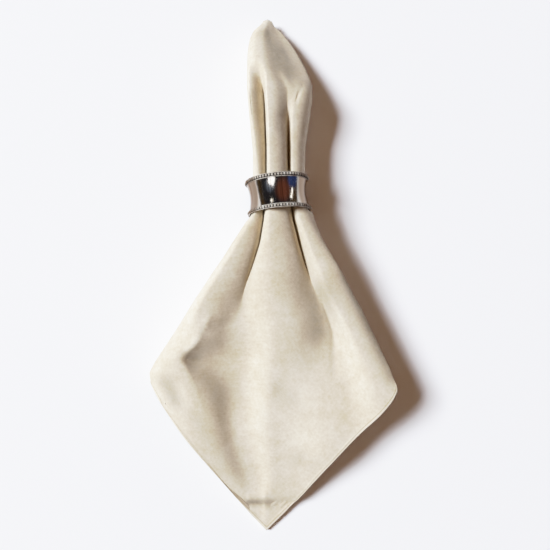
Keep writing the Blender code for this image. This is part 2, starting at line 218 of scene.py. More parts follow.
napkin = dict(
    side=508.0,             # the square that it was cut to
    length=355.3,           # closed corner to open corner, as it lies
    plyStep=0.6,            # from one ply to the next
    plyThick=0.5,
    plyRest=0.5,            # the same, where the fan lies flat on the table
    sideMargin=0.3,         # how near a side fold the fan still lies flat, in folds
    hemThick=0.95,
    hemWide=2.53,           # how far in from its edge the hem is thicker
    lapRamp=8.0, lapLead=1.0, lapGap=2.8, leastOverLap=8.4,
    steepness=0.5,          # 0 for even waves, 1 for flat tops and floors with steep flanks
    sideRound=1.25,         # how full the even curve is where it turns under
    pinchShare=0.8, pinchPower=14, breakPower=1.7,
    noseReach=1.6,          # how far the closed corner reaches past its first row
    flapEnd=256.0,
    levelRows=96, levelDraw=1.15, fanRows=66, fanFrom=236.0, fanDraw=1.25, flapDraw=1.4,
    hemRows=(4.9067, 3.8333, 3.0667, 1.84, 0.7667, 0.0),    # mm from the hem
    cornerSlack=1.2,        # cloth used up in the closed corner, against its straight length
    outerSteps=(20, 22, 22, 26, 24, 20), outerFlapSteps=10,
    innerSteps=(5, 5, 7, 7, 7, 5), innerFlapSteps=4,
)
ring = dict(
    down=132.5, x=2.1, lean=5.4, width=23.0, rimRadius=21.75, waistRadius=18.9, wall=1.0,
    boreGap=0.35, rimClear=1.0, boreSpread=1.6, boreFlare=1.9,
)

folds = ("sideL", "crestL", "valleyL", "crestC", "valleyR", "crestR", "sideR")

# Where the folds run, seen from above: down is measured from the closed corner, the others are x
planColumns = ("down",) + folds
plan = (
    (2, -8.3, -7.5, -6.4, -5.1, -4.1, -3.2, -2.5),
    (6, -11.4, -10.3, -8.5, -6.4, -3.9, -1.9, -0.4),
    (11, -16.0, -13.7, -10.5, -7.4, -3.8, 0.0, 4.4),
    (21, -18.8, -16.5, -13.1, -8.9, -1.9, 4.5, 11.4),
    (32, -19.6, -16.8, -13.2, -8.8, -0.6, 7.8, 17.0),
    (43, -19.6, -16.9, -12.4, -7.5, 1.7, 11.0, 21.6),
    (50, -19.5, -17.1, -10.2, -6.2, 3.7, 13.2, 24.0),
    (56, -19.4, -17.0, -8.7, -5.4, 6.2, 14.5, 25.1),
    (63, -18.9, -16.9, -7.5, -5.3, 8.6, 15.9, 25.2),
    (74, -17.9, -16.2, -6.7, -4.7, 8.3, 13.2, 24.1),
    (87, -16.6, -14.4, -6.2, -3.9, 8.7, 11.7, 22.3),
    (103, -15.2, -12.4, -5.7, -3.4, 9.0, 11.5, 20.3),
    (120, -15.0, -11.0, -5.7, -3.1, 9.4, 11.6, 20.3),
    (149, -19.5, -14.5, -7.5, -3.2, 12.4, 15.6, 26.2),
    (154, -22.3, -16.8, -8.3, -3.4, 13.8, 17.4, 27.7),
    (164, -28.9, -22.2, -9.9, -3.1, 16.2, 21.3, 32.0),
    (174, -35.1, -27.9, -12.8, -2.6, 18.8, 26.0, 37.7),
    (184, -42.0, -34.1, -16.1, -2.2, 21.9, 30.7, 43.3),
    (193, -47.9, -39.5, -19.2, -1.9, 25.0, 33.6, 48.1),
    (203, -54.5, -45.5, -21.6, -1.2, 28.9, 38.6, 53.3),
    (212, -60.1, -49.0, -22.5, 0.6, 33.3, 43.6, 58.0),
    (222, -66.4, -48.5, -23.2, 2.6, 37.3, 49.2, 62.5),
    (227, -69.8, -47.5, -23.5, 2.9, 38.3, 51.6, 65.0),
    (232, -73.1, -51.0, -23.7, 3.2, 39.3, 54.3, 67.4),
    (237, -76.4, -57.0, -23.8, 2.6, 40.3, 57.0, 69.6),
    (242, -79.7, -59.3, -23.8, 1.8, 41.2, 59.6, 71.8),
    (246, -82.0, -57.5, -23.6, 1.2, 41.7, 61.8, 73.7),
    (251, -84.0, -55.0, -23.2, 0.6, 42.2, 64.3, 75.4),
    (260, -83.0, -51.0, -22.5, 0.6, 43.4, 66.8, 79.2),
    (281, -99.0, -45.5, -23.4, -1.5, 44.0, 76.0, 92.4),
    (301, -108.2, -39.6, -19.4, 0.5, 42.0, 85.0, 102.4),
    (321, -117.8, -29.9, -14.6, 1.0, 40.6, 92.0, 113.2),
    (331, -122.6, -22.7, -12.6, -2.4, 40.4, 96.0, 118.2),
    (341, -127.8, -17.2, -11.0, -4.4, 40.6, 99.0, 122.8),
    (355.3, -135.0, -15.0, -10.0, -5.7, 42.1, 104.4, 130.0),
)

# How high the outer face stands on those folds
heightColumns = ("down",) + folds
height = (
    (2, 7.0, 8.4, 9.2, 9.6, 9.2, 8.4, 7.0),
    (6, 8.0, 11.0, 12.4, 12.8, 11.8, 10.4, 8.2),
    (11, 9.0, 13.4, 15.8, 16.2, 14.4, 12.2, 9.6),
    (21, 10.5, 17.6, 20.2, 20.8, 18.0, 15.0, 11.4),
    (32, 12.5, 24.0, 26.4, 26.8, 23.8, 19.6, 14.6),
    (43, 14.5, 28.4, 30.4, 31.6, 28.0, 23.6, 18.2),
    (50, 16.0, 31.2, 29.6, 33.8, 30.2, 25.6, 20.0),
    (56, 17.0, 33.0, 27.6, 35.8, 31.6, 29.4, 22.0),
    (63, 17.5, 33.6, 25.0, 37.6, 33.0, 32.6, 23.5),
    (74, 18.2, 33.6, 23.0, 38.6, 32.6, 33.6, 23.0),
    (87, 19.0, 33.4, 22.0, 39.0, 25.0, 31.0, 19.8),
    (103, 20.4, 33.4, 21.4, 38.8, 21.0, 31.4, 20.4),
    (120, 21.8, 33.6, 22.4, 39.0, 21.4, 33.0, 22.0),
    (149, 20.0, 33.0, 23.0, 39.0, 22.6, 35.0, 25.0),
    (154, 18.4, 34.4, 24.5, 38.6, 22.6, 35.0, 27.5),
    (164, 17.0, 35.6, 26.4, 37.8, 22.6, 34.8, 29.0),
    (174, 16.4, 36.2, 27.6, 37.0, 23.4, 34.0, 29.5),
    (184, 16.0, 36.2, 28.6, 36.4, 24.4, 33.4, 29.0),
    (193, 15.6, 35.8, 28.8, 35.8, 25.0, 33.4, 28.0),
    (203, 15.2, 35.0, 27.6, 35.0, 25.0, 33.0, 27.6),
    (212, 14.6, 33.8, 26.6, 34.0, 24.8, 32.8, 27.6),
    (222, 14.0, 32.4, 24.4, 32.6, 24.0, 32.4, 27.8),
    (232, 13.2, 31.0, 21.0, 30.0, 23.4, 32.0, 28.0),
    (242, 12.4, 29.6, 18.0, 27.2, 23.4, 31.4, 28.6),
    (251, 11.6, 27.8, 17.0, 25.0, 24.2, 31.0, 29.2),
    (260, 10.0, 26.0, 16.0, 23.6, 24.4, 31.0, 29.4),
    (281, 5.0, 21.6, 14.4, 20.8, 25.0, 30.0, 29.0),
    (301, 3.0, 17.0, 12.0, 17.0, 23.6, 28.0, 27.0),
    (321, 1.6, 10.6, 8.4, 12.0, 15.6, 19.0, 18.0),
    (333, 1.6, 7.2, 6.9, 8.2, 10.2, 13.2, 12.4),
    (338, 2.0, 3.9, 3.5, 4.6, 6.8, 9.6, 9.2),
    (355.3, 2.5, 2.6, 2.5, 2.5, 2.5, 4.0, 4.0),
)

# How each flank between two folds is bent: 0 is a soft wave, 0.5 runs into a sharp valley, towards 1 more
# and more of the fall is pinched into that valley (at the outer flanks 1 is a full round); -0.5 breaks off
# sharply at its crest. Where smooth is 1, the front is one even curve through all the folds.
flanks = ("outerL", "lobeL", "centreL", "centreR", "lobeR", "outerR")
bendColumns = ("down",) + flanks + ("smooth",)
bends = (
    (2, 1.0, 0.0, 0.0, 0.0, 0.0, 1.0, 1.0),
    (32, 1.0, 0.0, 0.0, 0.0, 0.0, 1.0, 1.0),
    (46, 1.0, 0.1, 0.3, 0.0, 0.0, 1.0, 0.9),
    (56, 1.0, 0.4, 0.6, 0.25, 0.0, 1.0, 0.35),
    (64, 1.0, 0.5, 0.8, 0.35, 0.0, 1.0, 0.0),
    (76, 1.0, 0.6, 0.9, 0.5, 0.0, 1.0, 0.0),
    (90, 1.0, 0.75, 0.95, 0.75, 0.5, 1.0, 0.0),
    (103, 1.0, 0.83, 0.97, 0.88, 0.6, 1.0, 0.0),
    (132.5, 1.0, 0.83, 0.97, 0.88, 0.7, 1.0, 0.0),
    (154, 1.0, 0.8, 0.97, 0.85, 0.7, 1.0, 0.0),
    (174, 1.0, 0.75, 0.9, 0.75, 0.6, 1.0, 0.0),
    (184, 1.0, 0.65, 0.7, 0.6, 0.5, 0.9, 0.0),
    (193, 1.0, 0.55, 0.5, 0.4, 0.3, 0.8, 0.0),
    (212, 1.0, 0.25, 0.1, 0.3, 0.0, 0.8, 0.0),
    (222, 1.0, -0.2, 0.0, 0.2, 0.0, 0.8, 0.0),
    (232, 1.0, -0.4, 0.0, 0.1, 0.0, 0.8, 0.0),
    (242, 1.0, -0.5, 0.0, 0.0, 0.0, 0.8, 0.0),
    (251, 1.0, -0.4, 0.0, 0.0, 0.0, 0.8, 0.0),
    (260, 0.9, -0.25, 0.0, 0.0, 0.0, 0.8, 0.0),
    (281, 0.1, -0.05, 0.0, 0.0, 0.0, 0.4, 0.0),
    (355.3, 0.0, 0.0, 0.0, 0.0, 0.0, 0.0, 0.0),
)

# The underside: base is how high it lies, reach is the cloth that turns under at each side
underColumns = ("down", "base", "reachL", "reachR")
under = (
    (2, 4.8, 2.6, 2.6),
    (6, 3.0, 6.0, 6.0),
    (15.5, 1.4, 10.0, 10.0),
    (25, 0.5, 14.0, 15.0),
    (35, 0.1, 18.0, 20.0),
    (53, 0.0, 26.0, 30.0),
    (62, 0.0, 30.0, 34.0),
    (79.5, 0.2, 36.0, 38.0),
    (97, 1.0, 41.0, 41.0),
    (114.5, 2.8, 44.0, 42.0),
    (132.5, 4.35, 46.0, 43.0),
    (146, 2.8, 48.0, 46.0),
    (155, 1.0, 52.0, 51.0),
    (163, 0.3, 56.0, 56.0),
    (176, 0.0, 62.0, 64.0),
    (204, 0.0, 80.0, 81.0),
    (237, 0.0, 101.0, 100.0),
    (260, 0.0, 112.0, 110.0),
    (355.3, 0.0, 112.0, 112.0),
)

# The two lower hems, from the folded side corner to the open corner
hemColumns = ("down", "x")
hemL = ((258.0, -82.5), (268.0, -76.7), (290.7, -60.6), (306.7, -47.6), (323.0, -33.9), (339.7, -20.7),
        (355.3, -5.7))
hemR = ((256.0, 77.4), (260.0, 78.3), (264.5, 76.6), (273.5, 69.7), (289.1, 54.0), (305.6, 38.5),
        (322.5, 24.5), (339.7, 10.0), (355.3, -5.7))

# Creases: a soft trough or ridge along a short line on the front, all in mm
creaseColumns = ("x0", "down0", "x1", "down1", "halfWidth0", "halfWidth1", "rise")
creases = (
    (-42.0, 215.0, -54.5, 233.5, 1.8, 2.2, 0.9),
    (-57.0, 240.5, -52.0, 243.0, 3.0, 4.5, -1.6),
    (15.7, 151.6, 20.3, 165.1, 0.7, 0.8, -0.7),
    (20.3, 165.1, 29.4, 195.9, 0.8, 1.0, -0.7),
    (29.4, 195.9, 38.0, 223.2, 1.0, 1.4, -0.8),
    (38.0, 223.2, 39.4, 249.3, 1.4, 3.5, -0.9),
    (5.3, 261.2, 13.8, 265.1, 6.0, 6.0, -1.0),
    (20.4, 306.5, 26.4, 309.1, 6.0, 6.0, -1.2),
    (-65.0, 258.5, -62.0, 269.5, 4.5, 5.5, -1.3),
    (-16.6, 332.4, -7.3, 332.3, 2.0, 2.4, 0.9),
    (-18.7, 338.2, -8.7, 338.6, 1.8, 2.0, -1.3),
    (-8.7, 338.6, 10.0, 336.6, 2.0, 4.0, -0.6),
    (18.9, 59.1, 14.4, 68.0, 0.6, 0.8, -1.0),
    (14.4, 68.0, 15.0, 72.5, 0.7, 0.5, -0.6),
    (2.9, 90.1, -0.7, 96.1, 0.5, 0.6, -0.4),
    (0.0, 102.8, 1.6, 104.8, 0.5, 0.5, -0.35),
)

# Painted shade: where the linen is painted darker and warmer, in the hollows and on the slopes and edges
# turned away from the key light, to stand in for their shade
paintedShadeColumns = ("x0", "down0", "x1", "down1", "halfWidth0", "halfWidth1", "amount")
paintedShadeParts = (
    (-6.0, 16.0, 4.0, 44.0, 6.0, 8.0, 0.85),
    (4.0, 30.0, 16.0, 56.0, 8.0, 6.5, 0.70),
    (4.0, 58.0, 5.0, 80.0, 4.0, 3.0, 0.40),
    (-14.0, 64.0, -9.5, 118.0, 2.5, 3.0, 0.50),
    (-11.0, 160.0, -22.5, 206.0, 2.0, 3.5, 0.35),
    (18.0, 175.0, 27.0, 200.0, 4.0, 7.0, 0.30),
    (29.5, 198.0, 29.5, 224.0, 9.0, 8.5, 0.75),
    (47.0, 188.0, 74.5, 251.0, 4.4, 5.2, 0.85),
    (-57.0, 238.5, -50.0, 242.0, 3.0, 4.5, 0.75),
    (-50.0, 245.0, -36.0, 264.0, 5.0, 9.0, 0.40),
    (-72.0, 256.0, -65.0, 268.0, 5.0, 5.0, 0.55),
    (-55.0, 275.0, -25.0, 315.0, 5.0, 7.0, 0.25),
    (-17.0, 337.0, -3.0, 337.5, 2.6, 3.6, 0.95),
    (3.0, 262.0, 14.0, 268.0, 8.0, 8.0, 0.22),
    (15.0, 306.0, 27.0, 309.0, 7.0, 7.0, 0.20),
)


def smoothCurve(xs, ys, at):
    # through the points, never swinging past its neighbours
    xs, ys = np.array(xs, float), np.array(ys, float)
    slope = np.diff(ys) / np.diff(xs)
    product = slope[:-1] * slope[1:]
    total = slope[:-1] + slope[1:]
    middle = np.where(product > 0, 2 * product / np.where(total == 0, 1, total), 0)
    tangent = np.concatenate([slope[:1], middle, slope[-1:]])
    at = np.clip(at, xs[0], xs[-1])
    i = np.clip(np.searchsorted(xs, at, side="right") - 1, 0, len(slope) - 1)
    step = xs[i + 1] - xs[i]
    t = (at - xs[i]) / step
    return ((2 * t**3 - 3 * t**2 + 1) * ys[i] + (t**3 - 2 * t**2 + t) * step * tangent[i]
            + (3 * t**2 - 2 * t**3) * ys[i + 1] + (t**3 - t**2) * step * tangent[i + 1])


def fromTable(table, columns, name, down):
    column = columns.index(name)
    return smoothCurve([row[0] for row in table], [row[column] for row in table], down)


def foldX(name, down):
    return fromTable(plan, planColumns, name, down)


def foldZ(name, down):
    return fromTable(height, heightColumns, name, down)


def bendOf(name, down):
    return fromTable(bends, bendColumns, name, down)


def underside(name, down):
    return fromTable(under, underColumns, name, down)


def ease(t):
    t = np.clip(t, 0.0, 1.0)
    return t * t * (3 - 2 * t)


def softLine(line, x, down):
    # 1 on a short line, fading to 0 beside it
    alongX, alongDown = line["x1"] - line["x0"], line["down1"] - line["down0"]
    fromX, fromDown = x - line["x0"], down - line["down0"]
    t = np.clip((fromX * alongX + fromDown * alongDown) / (alongX**2 + alongDown**2), 0, 1)
    away = np.hypot(fromX - t * alongX, fromDown - t * alongDown)
    halfWidth = line["halfWidth0"] + (line["halfWidth1"] - line["halfWidth0"]) * t
    return np.exp(-(away / halfWidth) ** 2)


def creaseHeight(x, down):
    # the strongest ridge and the deepest trough at each place
    ridge, trough = np.zeros_like(x), np.zeros_like(x)
    for row in creases:
        crease = dict(zip(creaseColumns, row))
        lift = crease["rise"] * softLine(crease, x, down)
        ridge, trough = np.maximum(ridge, lift), np.minimum(trough, lift)
    return ridge + trough


# how much painted shade each point gets, darker and warmer in the hollows
def paintedShadeShare(x, down):
    clear = np.ones_like(x)
    for row in paintedShadeParts:
        part = dict(zip(paintedShadeColumns, row))
        clear *= 1 - part["amount"] * softLine(part, x, down)
    return 1 - clear


def hermite(start, end, leaving, arriving, t):
    return ((2 * t**3 - 3 * t**2 + 1) * start + (t**3 - 2 * t**2 + t) * leaving
            + (3 * t**2 - 2 * t**3) * end + (t**3 - t**2) * arriving)


def evenCurve(k, part, xs, zs):
    # between fold k and the next, one curve through all the folds, upright where it turns under at a side
    last = len(folds) - 2
    slopes = [(zs[i + 1] - zs[i]) / (xs[i + 1] - xs[i]) for i in range(last + 1)]
    wide = xs[k + 1] - xs[k]
    ends = []
    for i in (k, k + 1):
        if 0 < i <= last:
            product, total = slopes[i - 1] * slopes[i], slopes[i - 1] + slopes[i]
            slope = np.where(product > 0, 2 * product / np.where(total == 0, 1, total), 0)
            ends.append((wide, slope * wide))
        else:
            ends.append((0 * wide, napkin["sideRound"] * (zs[k + 1] - zs[k])))
    return (hermite(xs[k], xs[k + 1], ends[0][0], ends[1][0], part),
            hermite(zs[k], zs[k + 1], ends[0][1], ends[1][1], part))


def frontSkin(position, down):
    # the outer face of the front; position counts the folds from the left, 0 to 6
    x, z = np.zeros_like(down), np.zeros_like(down)
    for k, flank in enumerate(flanks):
        here = (position >= k) & (position <= k + 1)
        if not here.any():
            continue
        d, part = down[here], position[here] - k
        xs = [foldX(name, d) for name in folds]
        zs = [foldZ(name, d) for name in folds]
        high, low = (k, k + 1) if folds[k].startswith("crest") else (k + 1, k)
        t = part if high == k else 1 - part
        tight, smooth = bendOf(flank, d), bendOf("smooth", d)
        soft = np.clip(1 - 2 * tight, 0, 1)
        across = np.sin(t * math.pi / 2)
        over = np.clip(2 * tight - 1, 0, 1)
        if flank.startswith("outer"):
            bent = np.cos(t * math.pi / 2) ** (2 - over)
        else:
            pinch = napkin["pinchShare"] * over
            bent = 1 - (1 - pinch) * across**2 - pinch * across**napkin["pinchPower"]
        wave = napkin["steepness"] * ease(t) + (1 - napkin["steepness"]) * t
        broken = np.clip(-2 * tight, 0, 1)
        rolling = (1 - broken) * (1 + np.cos(wave * math.pi)) / 2 + broken * (1 - t) ** napkin["breakPower"]
        fall = (1 - soft) * bent + soft * rolling
        across = (1 - soft) * across + soft * t
        evenX, evenZ = evenCurve(k, part, xs, zs)
        foldedX = xs[high] + (xs[low] - xs[high]) * across
        foldedZ = zs[low] + (zs[high] - zs[low]) * fall
        x[here] = foldedX + (evenX - foldedX) * smooth
        z[here] = foldedZ + (evenZ - foldedZ) * smooth
        loose = fall if flank.startswith("outer") else 1.0
        z[here] += creaseHeight(x[here], d) * loose
    return x, z


def flapSkin(fromLeft, part, down):
    # the outer face of a folded-back side: round the side fold, then flat underneath
    near, far = ("sideL", "sideR") if fromLeft else ("sideR", "sideL")
    left, right, base = foldX("sideL", down), foldX("sideR", down), underside("base", down)
    half = (right - left) / 2
    tall, farTall = foldZ(near, down) - base, foldZ(far, down) - base
    radius, farRadius = np.minimum(tall, half), np.minimum(farTall, half)
    quarter = math.pi / 2 * np.sqrt((radius**2 + tall**2) / 2)
    farQuarter = math.pi / 2 * np.sqrt((farRadius**2 + farTall**2) / 2)
    flat = 2 * half - radius - farRadius
    length = underside("reachL" if fromLeft else "reachR", down) * part**napkin["flapDraw"]
    lift = np.zeros_like(down)
    if fromLeft:
        otherEdge = quarter + flat + farQuarter - underside("reachR", down)
        lift = napkin["lapGap"] * ease((length - (otherEdge - napkin["lapRamp"] - napkin["lapLead"]))
                                       / napkin["lapRamp"])
    turn = np.clip(length / quarter, 0, 1) * math.pi / 2
    inset = radius * (1 - np.cos(turn)) + np.clip(length - quarter, 0, flat)
    z = base + tall * (1 - np.sin(turn))
    farTurn = np.clip((length - quarter - flat) / farQuarter, 0, 1) * math.pi / 2
    inset, z = inset + farRadius * np.sin(farTurn), z + farTall * (1 - np.cos(farTurn))
    inset = inset + np.where(turn < math.pi / 2, np.cos(turn), -np.sin(farTurn)) * lift
    z = z + np.where(turn < math.pi / 2, np.sin(turn), np.cos(farTurn)) * lift
    return (left + inset if fromLeft else right - inset), z


def pressIntoRing(x, z, down):
    # the bore holds the lobes in; past its rims the cloth spreads again
    lean = math.radians(ring["lean"])
    along = (x - ring["x"]) * math.sin(lean) + (down - ring["down"]) * math.cos(lean)
    beside = (x - ring["x"]) * math.cos(lean) - (down - ring["down"]) * math.sin(lean)
    pastRim = np.maximum(np.abs(along) - ring["width"] / 2 - ring["rimClear"], 0)
    flared = np.minimum(np.abs(along) / (ring["width"] / 2), 1.0) ** 2
    bore = (ring["waistRadius"] - ring["wall"] - ring["boreGap"] + ring["boreFlare"] * flared
            + ring["boreSpread"] * pastRim)
    away = np.maximum(np.hypot(beside, z - ring["rimRadius"]), 0.001)
    squeeze = np.minimum(bore / away, 1.0)
    pressedX = ring["x"] + (beside * squeeze + (down - ring["down"]) * math.sin(lean)) / math.cos(lean)
    outside = squeeze < 1
    pressedZ = ring["rimRadius"] + (z - ring["rimRadius"]) * squeeze
    return np.where(outside, pressedX, x), np.where(outside, pressedZ, z)


def skin(position, down):
    position, down = np.broadcast_arrays(np.asarray(position, float), np.asarray(down, float))
    x, z = np.zeros_like(down), np.zeros_like(down)
    last = len(folds) - 1
    for here, part in ((position < 0, -position), (position > last, position - last)):
        if here.any():
            x[here], z[here] = flapSkin(bool(position[here][0] < 0), part[here], down[here])
    front = (position >= 0) & (position <= last)
    x[front], z[front] = frontSkin(position[front], down[front])
    lapped = front & (down < napkin["flapEnd"])
    z[lapped] = np.maximum(z[lapped], napkin["leastOverLap"])
    x, z = pressIntoRing(x, z, down)
    return np.stack([x, napkin["length"] / 2 - down, z], axis=-1)


def columnEnd(position):
    # how far down each column of the cloth meets its hem
    last = len(folds) - 1
    ends = np.zeros_like(position)
    for onLeft, hem in ((True, hemL), (False, hemR)):
        here = position < last / 2 if onLeft else position > last / 2
        hemDown, hemX = [row[0] for row in hem], [row[1] for row in hem]
        low = np.full(here.sum(), float(hemDown[0]))
        high = np.full(here.sum(), napkin["length"])
        p = np.clip(position[here], 0, last)
        for halving in range(30):    # closes in on the place where the column crosses the hem
            middle = (low + high) / 2
            inside = (frontSkin(p, middle)[0] - smoothCurve(hemDown, hemX, middle)) * (1 if onLeft else -1)
            low, high = np.where(inside > 0, middle, low), np.where(inside > 0, high, middle)
        folded = np.maximum(-position[here], position[here] - last)
        ends[here] = np.where(folded >= 0, hemDown[0] + (napkin["flapEnd"] - hemDown[0]) * folded, low)
    ends[position == last / 2] = napkin["length"]
    return ends


def columnPositions(steps, flapSteps):
    found = [-1 + i / flapSteps for i in range(flapSteps)]
    for k, count in enumerate(steps):
        found += [k + i / count for i in range(count)]
    found += [len(steps) + i / flapSteps for i in range(flapSteps + 1)]
    return np.array(found)


def rowsDown(position):
    # level rows from the closed corner, then rows that fan out to the hem, the last few close together
    top = plan[0][0]
    spaced = np.linspace(0, 1, napkin["levelRows"]) ** napkin["levelDraw"]
    level = top + (napkin["fanFrom"] - top) * spaced
    ends = columnEnd(position)
    room = ends - napkin["fanFrom"]
    hemRows = np.array(napkin["hemRows"])
    body = 1 - (1 - np.linspace(0, 1, napkin["fanRows"] + 1)[1:]) ** napkin["fanDraw"]
    fan = napkin["fanFrom"] + np.outer(body, room - hemRows[0])
    hem = ends[None, :] - hemRows[1:, None]
    return np.concatenate([np.repeat(level[:, None], len(position), axis=1), fan, hem])


def plyPoints(position, down, depth):
    # a ply's middle, at a depth under the outer face
    points = skin(position, down)
    aside, onward, leastDown = 0.01, 0.3, 0.7    # how far to look for the slope, in folds and mm
    left, right = np.maximum(position - aside, -1), np.minimum(position + aside, len(folds))
    across = skin(right, down) - skin(left, down)
    along = skin(position, down + onward) - skin(position, np.maximum(down - onward, leastDown))
    inward = np.cross(across, along)
    inward /= np.maximum(np.linalg.norm(inward, axis=-1, keepdims=True), 1e-9)
    return points + inward * depth


def makeCloth():
    outer = columnPositions(napkin["outerSteps"], napkin["outerFlapSteps"])
    inner = columnPositions(napkin["innerSteps"], napkin["innerFlapSteps"])
    order = [(0, outer, 1), (3, inner, -1), (2, inner, 1), (1, inner, -1)]    # once round the napkin's centre
    flatSigns = {0: (1, 1), 3: (-1, 1), 2: (-1, -1), 1: (1, -1)}
    margin, last = napkin["sideMargin"], len(folds) - 1
    blocks, flats = [], []
    for ply, position, direction in order:
        down = rowsDown(position)
        depth = napkin["plyStep"] * (ply + 0.5)
        spread = np.broadcast_to(position, down.shape)
        points = plyPoints(spread, down, depth)
        inFan = (spread > margin) & (spread < last - margin) & (down > napkin["flapEnd"])
        onTable = napkin["plyThick"] / 2 + np.where(inFan, napkin["plyRest"] * (3 - ply), 0.0)
        points[..., 2] = np.maximum(points[..., 2], onTable)
        flat = flatPlace(position, down) * np.array(flatSigns[ply])
        if direction < 0:
            points, flat = points[:, ::-1], flat[:, ::-1]
        blocks.append(points)
        flats.append(flat)
    grid, flat = np.concatenate(blocks, axis=1), np.concatenate(flats, axis=1)
    rows, columns = grid.shape[:2]
    nose = grid[0].mean(axis=0) + (0, napkin["noseReach"], 0)
    verts = np.concatenate([grid.reshape(-1, 3), nose[None]]) + np.array(place)
    flat = np.concatenate([flat.reshape(-1, 2), [[0.0, 0.0]]])
    faces = []
    for i in range(rows - 1):
        for j in range(columns):
            a, b = i * columns + j, i * columns + (j + 1) % columns
            faces.append((a, a + columns, b + columns, b))
    for j in range(columns):
        faces.append((rows * columns, j, (j + 1) % columns))
    mesh = bpy.data.meshes.new("linenNapkin")
    mesh.from_pydata((verts * mm).tolist(), [], faces)
    uvMap = mesh.uv_layers.new(name="threads")
    corners = np.zeros(len(mesh.loops), int)
    mesh.loops.foreach_get("vertex_index", corners)
    uvMap.data.foreach_set("uv", (flat[corners] / napkin["side"] + 0.5).ravel())
    cloth = bpy.data.objects.new("linenNapkin", mesh)
    bpy.context.scene.collection.objects.link(cloth)

    hemGroup = cloth.vertex_groups.new(name="hem")
    toHem = napkin["side"] / 2 - np.abs(flat).max(axis=1)
    hemGroup.add([int(i) for i in np.nonzero(toHem < napkin["hemWide"])[0]], 1.0, "REPLACE")
    solid = cloth.modifiers.new("ply thickness", "SOLIDIFY")
    solid.thickness = napkin["hemThick"] * mm
    solid.offset = 0.0
    solid.vertex_group = "hem"
    solid.thickness_vertex_group = napkin["plyThick"] / napkin["hemThick"]
    deselectAll()
    bpy.context.view_layer.objects.active = cloth
    cloth.select_set(True)
    bpy.ops.object.modifier_apply(modifier=solid.name)
    mesh.shade_smooth()
    where = np.zeros(len(mesh.vertices) * 3)
    mesh.vertices.foreach_get("co", where)
    x, y, _ = where.reshape(-1, 3).T / mm
    # painted shade, kept on each vertex for the linen's colour
    share = paintedShadeShare(x - place.x, napkin["length"] / 2 + place.y - y)
    paintedShade = mesh.color_attributes.new("paintedShade", "FLOAT_COLOR", "POINT")
    paintedShade.data.foreach_set("color", np.repeat(share, 4))
    print("cloth:", len(mesh.polygons) * 2, "triangles")
    return cloth


def flatPlace(position, down):
    # where each point lies on the flat quarter of the napkin, in mm from the napkin's centre:
    # every column is a straight line from the centre to its place along the hem
    fine = np.linspace(-1, len(folds), 801)
    hemPoints = skin(fine, columnEnd(fine))
    lengths = np.concatenate([[0], np.cumsum(np.linalg.norm(np.diff(hemPoints, axis=0), axis=1))])
    corner = np.interp(folds.index("crestC"), fine, lengths)
    run = np.interp(position, fine, lengths)
    quarter = napkin["side"] / 2
    u = np.where(run < corner, quarter, quarter * (lengths[-1] - run) / (lengths[-1] - corner))
    v = np.where(run < corner, quarter * run / corner, quarter)
    points = skin(np.broadcast_to(position, down.shape), down)
    steps = np.linalg.norm(np.diff(points, axis=0), axis=2)
    first = np.broadcast_to(down[:1], steps[:1].shape) * napkin["cornerSlack"]
    alongColumn = np.cumsum(np.concatenate([first, steps]), axis=0)
    share = alongColumn / alongColumn[-1:]
    return np.stack([share * u, share * v], axis=-1)


linen = dict(
    # brown is the colour of the painted shade in the hollows
    light="#dbd1bd", dark="#c5b69b", paintedShadeColour="#5c4a30",
    threadSpacing=1.1,      # mm; real linen has 0.55, drawn coarser so that it shows
    slubLength=16.0, slubWidth=1.2, slubShare=0.3,
    grainSize=1.6, cloudSize=6.0, cloudRoughness=0.75, slubTone=0.5, blotchSize=30.0, blotchShare=0.6,
    darkAt=0.95, lightAt=1.45,
    roughness=0.85, gloss=0.25, sheen=0.15, sheenRoughness=0.5,
    weaveHeight=0.05, weaveStrength=0.5, weaveWobble=0.6,
    hemBand=1.0, hemFadeIn=0.1, hemFadeOut=0.3, hemColour="#d9d0bc",
    stitchLine=1.7, stitchCore=0.1, stitchWidth=0.4, stitchLength=2.4, stitchDepth=3.0,
    # hemShadeShare is the painted shade left along the hem line between the stitches
    stitchShare=0.8, hemShadeShare=0.45, stitchAndShadeColour="#a8946f",
)


